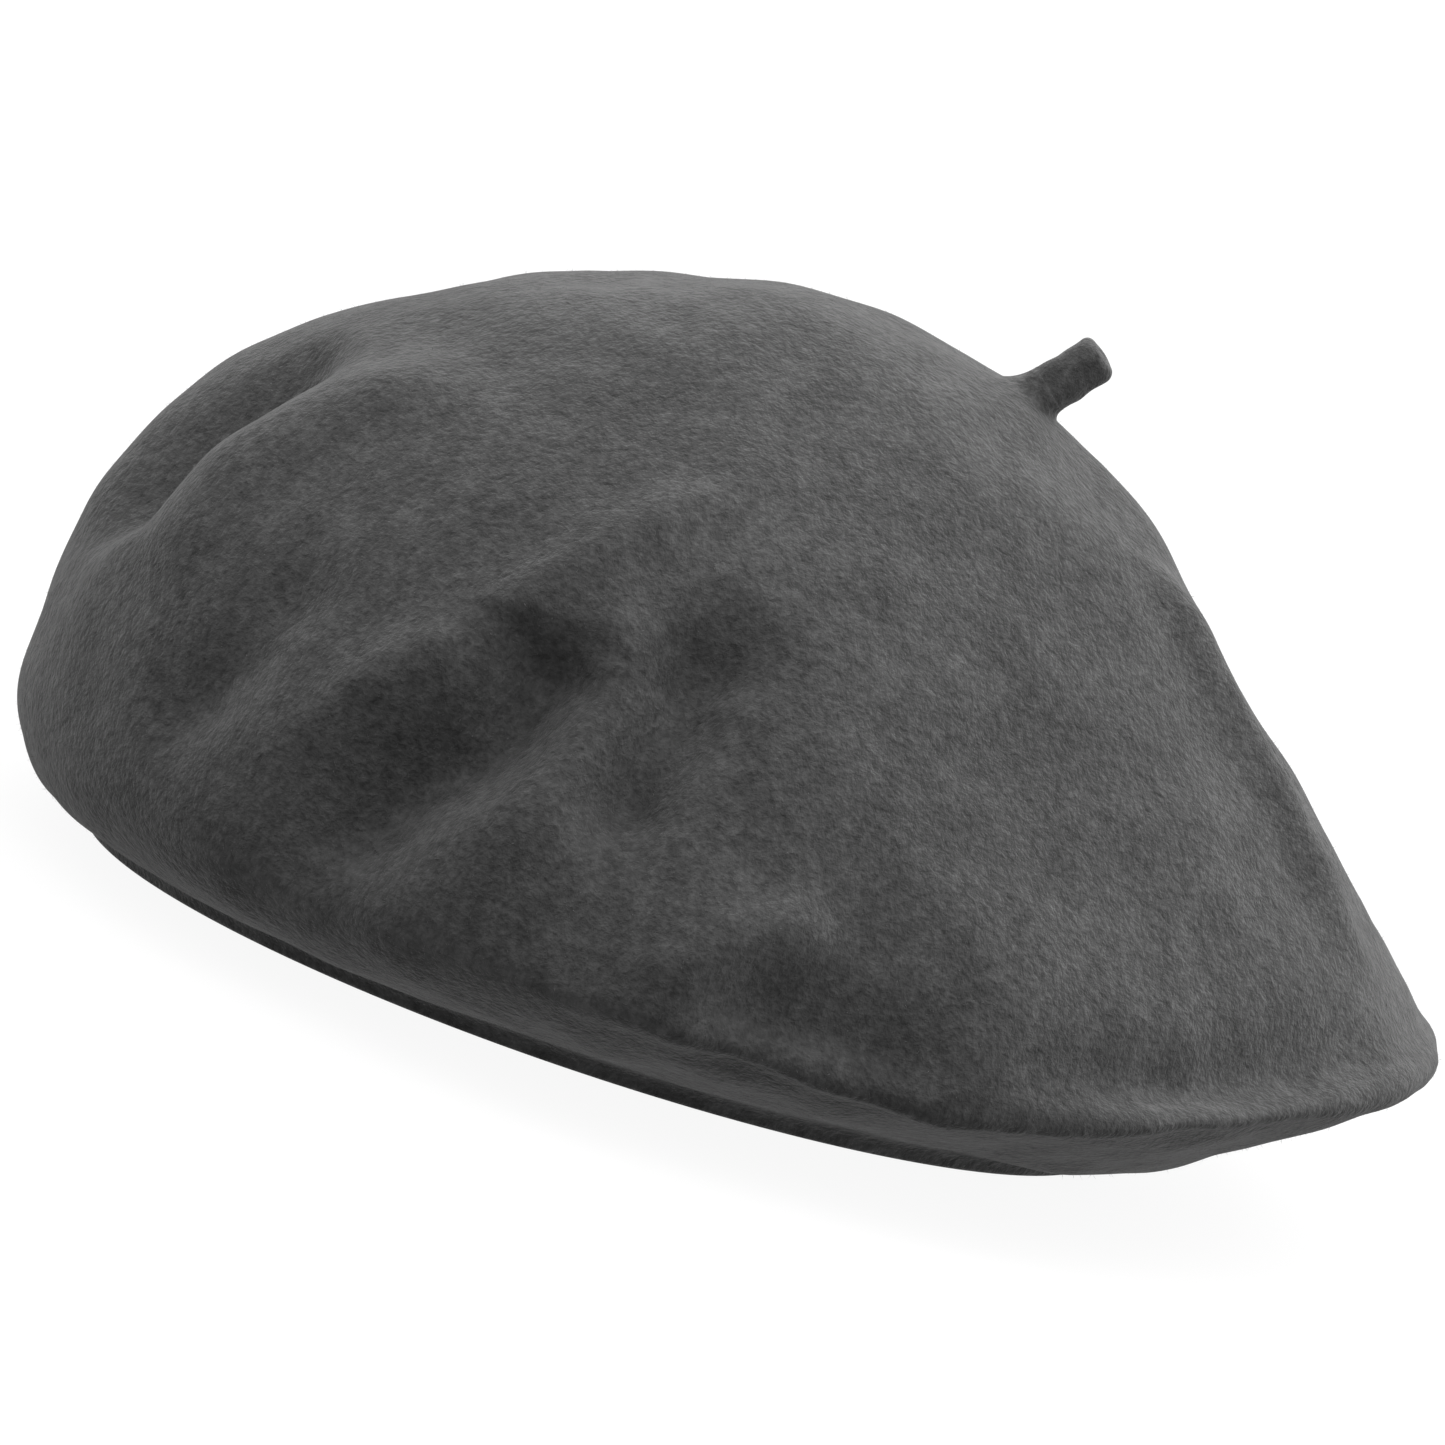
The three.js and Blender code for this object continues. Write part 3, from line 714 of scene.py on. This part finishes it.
def stalk_foot(skin, radial, corner, material):
    """The felt that spreads from the stalk into the crown. It is part of the crown's cloth."""
    facing_front = (1 - radial @ np.array([0, 1.0, 0]) / math.cos(STALK_LEAN)) / 2
    spread = mix(FILLET["back"], FILLET["front"], facing_front**1.4)
    outward = radial * (1, 1, 0)
    outward /= np.linalg.norm(outward, axis=1, keepdims=True)
    foot = corner + outward * spread[:, None]
    foot[:, 2] = [felt_height(skin, x, y) - FOOT_SINK for x, y, _ in foot]
    rise = corner + stalk_axis * (spread * 0.9 + 0.8)[:, None] + radial * FOOT_COVER
    hidden = [mix(corner, corner.mean(0), 0.5) - (0, 0, 1.6), foot - (0, 0, 1.2)]
    loops = list(hidden)
    for t in np.linspace(0, 1, FOOT_STEPS):
        loops.append(foot * (1 - t) ** 2 + corner * 2 * t * (1 - t) + rise * t**2)
    loops.append(mix(rise, rise.mean(0), 0.5))
    faces = grid_faces(len(loops), STALK_AROUND, ring=True)[:, ::-1]
    return make_piece("stalk_foot", np.concatenate(loops), faces, material)


def smooth_stalk(radial, corner):
    """Rings from inside the foot, up the stub, round its rim and over its domed end."""
    base = corner - stalk_axis * STALK_DEPTH
    shoulder, flat = STALK_TIP - TIP_ROUND, STALK_RADIUS - TIP_ROUND
    top = around_axis(radial, STALK_RADIUS, shoulder)
    loops = [mix(base, top, t) for t in np.linspace(0, 1, STALK_STEPS)]
    for angle in np.linspace(0, math.pi / 2, TIP_STEPS + 1)[1:]:
        ring = flat + TIP_ROUND * math.cos(angle)
        loops.append(around_axis(radial, ring, shoulder + TIP_ROUND * math.sin(angle)))
    for share in (0.7, 0.4, 0.15):
        loops.append(around_axis(radial, flat * share, STALK_TIP + TIP_DOME * (1 - share**2)))
    return np.array(loops)


def stalk_felt(radial, corner, material, rng):
    """A blunt felt stub, slightly lumpy, that goes down into its foot."""
    grid = smooth_stalk(radial, corner)
    lumps = np.zeros(grid.shape[:2])
    for _ in range(LUMPS):
        direction = rng.normal(size=3)
        direction *= rng.uniform(*LUMP_WAVES) / np.linalg.norm(direction)
        lumps += np.sin(grid @ direction + rng.uniform(0, 2 * math.pi))
    along = (grid - stalk_pivot) @ stalk_axis
    away = grid - stalk_pivot - along[..., None] * stalk_axis
    away /= np.maximum(np.linalg.norm(away, axis=2, keepdims=True), 0.2)
    grid += away * (lumps * smoothstep(along, -1, 3) * LUMP_HEIGHT)[..., None]
    faces = grid_faces(len(grid), STALK_AROUND)[:, ::-1].tolist()
    faces.append(list(range(STALK_AROUND)))
    faces.append([(len(grid) - 1) * STALK_AROUND + i for i in reversed(range(STALK_AROUND))])
    return make_piece("stalk_felt", grid.reshape(-1, 3), faces, material)


def box_mm(node):
    """The low and high corners of a CAD node's box, in millimetres."""
    low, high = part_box(node)
    return np.array(low) / MM, np.array(high) / MM


PLY_SHARE = {2: 0.5, 3: 0.46}  # a ply's radius over the yarn's, by the number of plies
YARN_RADIUS = 0.95
WINDING_RADIUS, WINDING_TURNS, WINDING_RISE = 0.24, 4, 1.5


def plied(path, radius, plies, turns, closed=False):
    """Plies of yarn twisted round each other along a path."""
    u, v = cross_frames(np.asarray(path, float), closed)
    ply = radius * PLY_SHARE[plies]
    share = np.arange(len(path)) / (len(path) if closed else len(path) - 1)
    parts = []
    for k in range(plies):
        angle = 2 * math.pi * (share * turns + k / plies)
        off = np.cos(angle)[:, None] * u + np.sin(angle)[:, None] * v
        parts.append(tube(path + off * (radius - ply), ply, sides=7, closed=closed))
    return joined(parts)


def stalk_knot(material):
    """The knitting's first yarn, tied in a knot on the inside of the crown."""
    low, high = box_mm("stalk_knot")
    centre = (low + high) / 2
    steps = 260
    t = np.arange(steps) * 2 * math.pi / steps
    size = (high[0] - low[0]) / 2 - YARN_RADIUS
    ring = size * (2 + np.cos(3 * t)) / 3
    path = np.column_stack([ring * np.cos(2 * t), ring * np.sin(2 * t), size / 3 * np.sin(3 * t)])
    yarn = plied(path + centre, YARN_RADIUS, plies=3, turns=26, closed=True)
    return make_piece("knot_yarn", *yarn, material)


def stalk_winding(material):
    """Sewing thread wound round the neck of the stalk, inside the crown."""
    low, high = box_mm("stalk_tack_thread")
    centre = (low + high) / 2
    radius = (high[0] - low[0]) / 2 - 0.3
    t = np.linspace(0, 1, 300)
    angle = 2 * math.pi * WINDING_TURNS * t
    path = np.column_stack([radius * np.cos(angle), radius * np.sin(angle), WINDING_RISE * (t - 0.5)])
    winding = plied(path + centre, WINDING_RADIUS, plies=2, turns=70)
    return make_piece("winding_thread", *winding, material)


# ---- The sweatband --------------------------------------------------------------------------------

RIB = 0.98  # from rib to rib of the grosgrain
RIB_POINTS = 5
RIB_DEPTH = 0.1
BAND_THICKNESS = 0.9
BAND_LEAN = 1.5
# up the ribbon: share of its height, how far both faces pinch in, how far the selvedge draws in
BAND_ROWS = [(0.004, 0.25, 0), (0.03, 0, 0.12), (0.3, 0, 0), (0.55, 0, 0), (0.8, 0, 0),
             (0.97, 0, 0.12), (0.996, 0.25, 0)]

band_low, band_high = box_mm("sweatband")


def oval(half_width, half_length, angle):
    """Points round an oval, with angle 0 at the back."""
    return np.column_stack([half_width * np.sin(angle), half_length * np.cos(angle)])


def band_ribbon(material):
    """Ribbed ribbon round the inside of the opening, leaning in and slightly eased at its top."""
    outside = band_high[:2]
    around = 2 * math.pi * math.sqrt((outside**2).sum() / 2)
    ribs = round(around / RIB)
    columns = ribs * RIB_POINTS
    angle = np.arange(columns) * 2 * math.pi / columns
    rib = RIB_DEPTH * np.cos(angle * ribs)
    ease = 0.35 * np.sin(angle * 23 + 1) + 0.25 * np.sin(angle * 37)
    ring = oval(*outside, angle)
    inward = ring / outside**2
    inward /= np.linalg.norm(inward, axis=1, keepdims=True)
    outer_loops, inner_loops = [], []
    for share, pinch, selvedge in BAND_ROWS:
        lean = BAND_LEAN * share + (ease + 0.6) * 0.5 * share**2
        height = np.full(columns, mix(band_low[2], band_high[2], share))
        out_face = ring - inward * (lean + pinch)[:, None]
        in_face = ring - inward * (lean + BAND_THICKNESS - pinch - rib + selvedge)[:, None]
        outer_loops.append(np.column_stack([out_face, height]))
        inner_loops.append(np.column_stack([in_face, height]))
    loops = outer_loops + inner_loops[::-1]
    faces = grid_faces(len(loops), columns, ring=True)
    return make_piece("band_ribbon", np.concatenate(loops), faces, material), around


def band_face(angle, height):
    """The point on the ribbon's inner face at an angle and height, and the way into the hat."""
    share = (height - band_low[2]) / (band_high[2] - band_low[2])
    inset = BAND_THICKNESS + BAND_LEAN * share + RIB_DEPTH + 0.3 * share**2
    spot = oval(band_high[0], band_high[1], np.array([angle]))[0]
    inward = -spot / np.array([band_high[0] ** 2, band_high[1] ** 2])
    inward /= np.linalg.norm(inward)
    return np.array([*(spot + inward * inset), height]), np.array([*inward, 0])


def band_stitches(material, rng):
    """Running stitches along the ribbon's lower edge, each a short arched thread."""
    low, high = box_mm("sweatband_stitching")
    height = (low[2] + high[2]) / 2
    count, covered = 112, 0.62  # covered is a stitch's share of its step
    step = 2 * math.pi / count
    parts = []
    for k in range(count):
        start = (k + rng.uniform(-0.06, 0.06)) * step
        end = start + covered * step
        a, inward = band_face(start, height + rng.uniform(-0.2, 0.2))
        b, _ = band_face(end, height + rng.uniform(-0.2, 0.2))
        parts.append(stitch(a - inward * 0.1, b - inward * 0.1, 0.3, bow=inward * 0.34))
    return make_piece("band_stitches", *joined(parts), material)


# ---- The bow --------------------------------------------------------------------------------------


BOW_RIBBON = 0.5  # thickness
BOW_RIB_DEPTH = 0.06
BOW_RIB_POINTS = 6  # path points from rib to rib


def ribbon_along(path, across, half_height):
    """A ribbon along a closed path, as wide as across and half_height say, ribbed on both faces."""
    ahead = np.roll(path, -1, 0) - np.roll(path, 1, 0)
    ahead /= np.linalg.norm(ahead, axis=1, keepdims=True)
    out = np.cross(ahead, across)
    half_height = np.broadcast_to(half_height, len(path))[:, None]
    rib = BOW_RIB_DEPTH * np.cos(2 * math.pi * np.arange(len(path)) / BOW_RIB_POINTS)
    swell = (BOW_RIBBON / 2 + rib)[:, None]
    climb = [-1, -0.5, 0, 0.5, 1]
    loops = []
    for side, up in [(-1, u) for u in climb] + [(1, u) for u in reversed(climb)]:
        loops.append(path + out * side * swell + np.asarray(across) * up * half_height)
    return np.concatenate(loops), grid_faces(len(loops), len(path), ring=True)


def bow_loop(side):
    """One loop of the bow, gathered at the middle."""
    low, high = box_mm("bow_loops")
    centre, size = (low + high) / 2, high - low
    steps = 180
    t = np.arange(steps) * 2 * math.pi / steps
    opened = (1 - np.cos(t)) / 2
    reach = (size[0] / 2 - 0.4) * opened
    puffed = (size[1] / 2 - 0.35) * np.sin(t) * (0.35 + 0.65 * opened) ** 0.5
    path = np.column_stack([side * (reach + 0.3), puffed, np.zeros(steps)]) + centre
    path = path[::side]
    gather = mix(0.66, 1.0, smoothstep(np.abs(path[:, 0] - centre[0]), 1.5, 9)) * size[2] / 2
    return ribbon_along(path, (0, 0, 1), gather)


def squared(wave):
    """A sine wave made blunter."""
    return np.sign(wave) * np.abs(wave) ** 0.55


def bow_wrap():
    """The short ribbon round the bow's middle."""
    low, high = box_mm("bow_knot")
    centre, size = (low + high) / 2, high - low
    steps = 120
    t = np.arange(steps) * 2 * math.pi / steps
    depth = squared(np.cos(t)) * (size[1] / 2 - 0.35)
    height = squared(np.sin(t)) * (size[2] / 2 - 0.9)
    path = np.column_stack([np.zeros(steps), depth, height]) + centre
    return ribbon_along(path, (-1, 0, 0), size[0] / 2 - 0.2)


def bow(material):
    """A flat tailored bow over the ribbon's joint: two loops and the wrap round their middle."""
    loops = make_piece("bow_ribbon", *joined([bow_loop(-1), bow_loop(1)]), material)
    return loops, make_piece("bow_wrap", *bow_wrap(), material)


# ---- The care label -------------------------------------------------------------------------------


LABEL_HALF = 0.2  # half the tape's thickness
LABEL_CURL, LABEL_WAVE = 1.5, 0.35
LABEL_FOLD = 0.06  # how much thicker the tape is where it is folded over


def label_face(side, rows, columns):
    """One face of the label, from its sewn edge down to its free end."""
    low, high = box_mm("care_label")
    middle, width = (low + high) / 2, high[1] - low[1]
    y = np.linspace(-width / 2, width / 2, columns)
    lines = []
    for s in np.linspace(0, 1, rows):
        curl = LABEL_CURL * s**2 + LABEL_WAVE * s * np.sin(y / width * 5 + 0.6)
        doubled = LABEL_FOLD * (1 - smoothstep(s, 0.14, 0.2))
        x = middle[0] - curl + side * (LABEL_HALF + doubled)
        lines.append(np.column_stack([x, y + middle[1], np.full(columns, mix(high[2], low[2], s))]))
    return np.concatenate(lines)


def care_label(material):
    """A blank woven tab, folded over at its top and curling in a little at its free end."""
    rows, columns = 24, 30
    points = np.concatenate([label_face(side, rows, columns) for side in (1, -1)])
    index = np.arange(rows * columns).reshape(rows, columns)
    quads = np.stack([index[:-1, :-1], index[1:, :-1], index[1:, 1:], index[:-1, 1:]], -1).reshape(-1, 4)
    faces = quads.tolist() + (quads[:, ::-1] + rows * columns).tolist()
    border = np.concatenate([index[0], index[1:-1, -1], index[-1, ::-1], index[-2:0:-1, 0]])
    for a, b in zip(border, np.roll(border, -1)):
        faces.append([a, b, b + rows * columns, a + rows * columns])
    low, high = box_mm("care_label")
    flat = ((high[1] - low[1]) * MM, (high[2] - low[2]) * MM)
    return make_piece("label_tape", points, faces, material), flat


def label_stitches(material):
    """Machine stitches along the label's upper edge."""
    low, high = box_mm("care_label_stitch")
    centre = (low + high) / 2
    count, gap = 9, 0.25
    step = (high[1] - low[1]) / count
    parts = []
    for k in range(count):
        y = low[1] + k * step
        start, end = (centre[0], y + gap, centre[2]), (centre[0], y + step - gap, centre[2])
        parts.append(stitch(start, end, 0.2, bow=(0.08, 0, 0)))
    return make_piece("label_stitches", *joined(parts), material)


# ---- Studio ---------------------------------------------------------------------------------------

VIEW_ELEVATION, VIEW_ROLL = math.radians(9.7), math.radians(18.8)
VIEW_CENTRE = np.array([0, 6.8, 54.0])
VIEW_WIDTH = 266.8
LENS, SENSOR = 200.0, 36.0

sideways = np.array([0, 1.0, 0])
upright = np.array([-math.sin(VIEW_ELEVATION), 0, math.cos(VIEW_ELEVATION)])
view_back = np.array([math.cos(VIEW_ELEVATION), 0, math.sin(VIEW_ELEVATION)])
view_right = math.cos(VIEW_ROLL) * sideways + math.sin(VIEW_ROLL) * upright
view_up = math.cos(VIEW_ROLL) * upright - math.sin(VIEW_ROLL) * sideways


def looking(right, up, back, place):
    """A matrix for an object that looks along -back from a place in millimetres."""
    columns = [Vector(right), Vector(up), Vector(back)]
    matrix = Matrix(columns).transposed().to_4x4()
    matrix.translation = Vector(place * MM)
    return matrix


def camera():
    """A long lens on the wearer's left, a little above the hat and tilted over."""
    data = bpy.data.cameras.new("camera")
    data.lens = LENS
    data.sensor_width = SENSOR
    data.clip_end = 50
    eye = bpy.data.objects.new("camera", data)
    bpy.context.scene.collection.objects.link(eye)
    distance = VIEW_WIDTH * LENS / SENSOR
    eye.matrix_world = looking(view_right, view_up, view_back, VIEW_CENTRE + view_back * distance)
    bpy.context.scene.camera = eye


def softbox(name, towards, distance, size, power):
    """A square area light that looks at the hat from a direction."""
    data = bpy.data.lights.new(name, "AREA")
    data.shape = "SQUARE"
    data.size = size * MM
    data.energy = power
    lamp = bpy.data.objects.new(name, data)
    bpy.context.scene.collection.objects.link(lamp)
    towards = towards / np.linalg.norm(towards)
    lamp.matrix_world = Vector(towards).to_track_quat("Z", "Y").to_matrix().to_4x4()
    lamp.matrix_world.translation = Vector((VIEW_CENTRE + towards * distance) * MM)


def sky(base, towards):
    """White to the camera, and to the hat a soft light that grows in a direction."""
    world = bpy.data.worlds.new("studio")
    bpy.context.scene.world = world
    world.use_nodes = True
    tree = world.node_tree
    background = tree.nodes["Background"]
    background.inputs["Color"].default_value = (1, 1, 1, 1)
    coordinates = tree.nodes.new("ShaderNodeTexCoord")
    share = tree.nodes.new("ShaderNodeVectorMath")
    share.operation = "DOT_PRODUCT"
    share.inputs[1].default_value = towards
    strength = tree.nodes.new("ShaderNodeMath")
    strength.operation = "ADD"
    strength.inputs[1].default_value = base
    lit = tree.nodes.new("ShaderNodeMath")
    lit.operation = "MAXIMUM"
    lit.inputs[1].default_value = 0.02
    path = tree.nodes.new("ShaderNodeLightPath")
    seen = tree.nodes.new("ShaderNodeMix")
    seen.inputs["B"].default_value = 1.0
    tree.links.new(coordinates.outputs["Generated"], share.inputs[0])
    tree.links.new(share.outputs["Value"], strength.inputs[0])
    tree.links.new(strength.outputs[0], lit.inputs[0])
    tree.links.new(path.outputs["Is Camera Ray"], seen.inputs["Factor"])
    tree.links.new(lit.outputs[0], seen.inputs["A"])
    tree.links.new(seen.outputs[0], background.inputs["Strength"])


def floor():
    """A large pale disc under the hat, which lets a view from below through."""
    material = bpy.data.materials.new("floor")
    material.use_nodes = True
    tree = material.node_tree
    shade = tree.nodes["Principled BSDF"]
    shade.inputs["Base Color"].default_value = (0.1, 0.1, 0.1, 1)
    shade.inputs["Roughness"].default_value = 1
    shade.inputs["Specular IOR Level"].default_value = 0
    shade.inputs["Emission Color"].default_value = (1, 1, 1, 1)
    shade.inputs["Emission Strength"].default_value = 0.92
    clear = tree.nodes.new("ShaderNodeBsdfTransparent")
    sides = tree.nodes.new("ShaderNodeMixShader")
    facing = tree.nodes.new("ShaderNodeNewGeometry")
    tree.links.new(facing.outputs["Backfacing"], sides.inputs["Fac"])
    tree.links.new(shade.outputs[0], sides.inputs[1])
    tree.links.new(clear.outputs[0], sides.inputs[2])
    tree.links.new(sides.outputs[0], tree.nodes["Material Output"].inputs["Surface"])
    radius, count = 60000, 64
    turn = np.arange(count) * 2 * math.pi / count
    rim = np.column_stack([radius * np.cos(turn), radius * np.sin(turn), np.full(count, -0.2)])
    disc = make_piece("floor", rim, [range(count)], material, smooth=False)
    disc.visible_diffuse = disc.visible_glossy = disc.visible_shadow = False


# ---- The beret ------------------------------------------------------------------------------------


def settle(piece, body, slot, *nodes):
    """The piece rides a body and stands for its CAD nodes, which are hidden; slot is not used."""
    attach(piece, body)
    if nodes:
        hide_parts(*nodes)
    return piece


def flatten(piece):
    """The piece gets its own copy of its mesh."""
    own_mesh(piece)


def build():
    rng = np.random.default_rng(SEED)
    felt = wool_felt("felt", 0.075)
    outer = felt_outer(rng)
    shell = felt_shell(outer, felt)
    skin = crown_skin(outer)
    fuzz = felt_fuzz(outer, wool_fibre("fibre", 0.11), rng)

    root_height = felt_height(skin, 0, PEAK_Y + 3 * STALK_HOLE) * MM
    flatten(settle(shell, "root", "felt", "felt_body"))
    flatten(settle(fuzz, "root", "felt"))

    radial = stalk_rings()
    corner = np.array([foot_crossing(skin, p) for p in around_axis(radial, STALK_RADIUS, 2)])
    # The stalk's felt is the crown's wool with a paler tone: painted light, standing in for the brighter
    # light that falls on the stalk.
    painted_lit_stalk_wool = wool_felt("stalk", 0.1)
    flatten(settle(stalk_foot(skin, radial, corner, painted_lit_stalk_wool), "root", "felt"))
    stalk = stalk_felt(radial, corner, painted_lit_stalk_wool, rng)
    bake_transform(stalk)
    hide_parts("stalk_base", "stalk")

    sewing = thread("sewing_thread", 0.02, 0.05)
    settle(stalk_knot(thread("yarn", 0.05, 0.13)), "crown_top", "yarn", "stalk_knot")
    settle(stalk_winding(sewing), "crown_top", "thread", "stalk_tack_thread")

    ribbon = grosgrain("grosgrain")
    band, around = band_ribbon(ribbon)
    settle(band, "root", "ribbon", "sweatband")
    settle(band_stitches(sewing, rng), "root", "thread", "sweatband_stitching")
    loops, knot = bow(ribbon)
    settle(loops, "root", "ribbon", "bow_loops")
    settle(knot, "root", "ribbon", "bow_knot")

    label, flat = care_label(satin_tape("satin"))
    settle(label, "care_label", "label", "care_label")
    settle(label_stitches(sewing), "root", "thread", "care_label_stitch")


def studio():
    scene = bpy.context.scene
    scene.view_settings.view_transform = "Standard"
    camera()
    sky(0.88, 0.7 * view_up + 0.3 * view_right - 0.42 * view_back)
    softbox("top_box", view_up + 0.3 * view_right + 0.1 * view_back, 1400, 1300, 2)
    softbox("rear_box", 0.6 * view_up + 0.9 * view_right - 0.5 * view_back, 1500, 900, 10)
    floor()


build()
studio()
